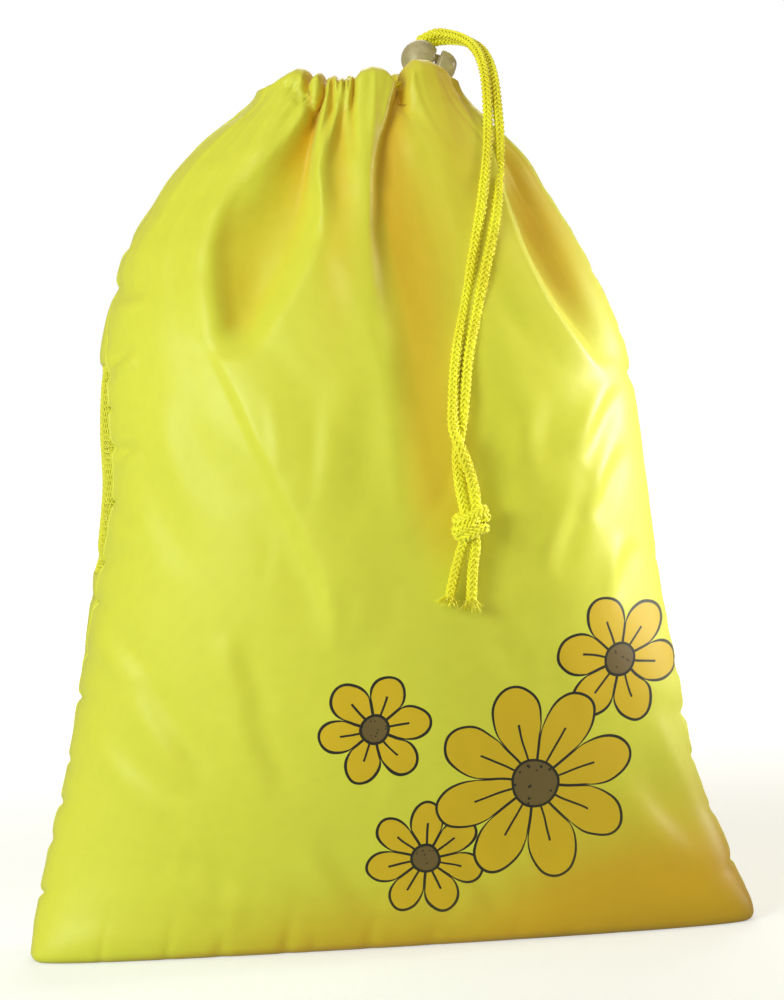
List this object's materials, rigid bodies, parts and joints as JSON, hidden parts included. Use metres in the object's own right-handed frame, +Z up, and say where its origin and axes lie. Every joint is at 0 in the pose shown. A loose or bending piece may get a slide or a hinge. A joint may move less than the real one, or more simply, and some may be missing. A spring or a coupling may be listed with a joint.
{
  "type": "drawstring storage bag with a net back, standing on its base, and a ball cord lock",
  "caption": "Bright yellow two-panel drawstring bag, filled out and standing, with a gathered mouth, a net band in the back, and a doubled cord held by a beige ball cord lock.",
  "frame": {"origin": "middle of the base, on the floor", "axes": "+Z up to the mouth, +X to the right seen from the front, -Y out of the front panel"},
  "size_m": [0.2909, 0.1393, 0.3647],
  "materials": {
    "satin_cloth": "satin",
    "net_cloth": "matte",
    "cord_braid": "satin",
    "lock_beige": "satin"
  },
  "bodies": {
    "bag": {"front_panel": "satin_cloth", "back_lower_panel": "satin_cloth", "mesh_band": "net_cloth", "back_upper_panel": "satin_cloth", "lock_body": "lock_beige", "casing_cord": "cord_braid", "strand_left": "cord_braid", "strand_right": "cord_braid", "cord_knot": "cord_braid", "tail_left": "cord_braid", "tail_right": "cord_braid"},
    "button": {"lock_button": "lock_beige"}
  },
  "joints": [
    {"name": "button_press", "type": "slide", "parent": "bag", "child": "button", "axis": [-0.9397, 0, 0.342], "range_m": [0, 0.002], "stiffness_N_per_m": 600, "springref_m": -0.003}
  ]
}
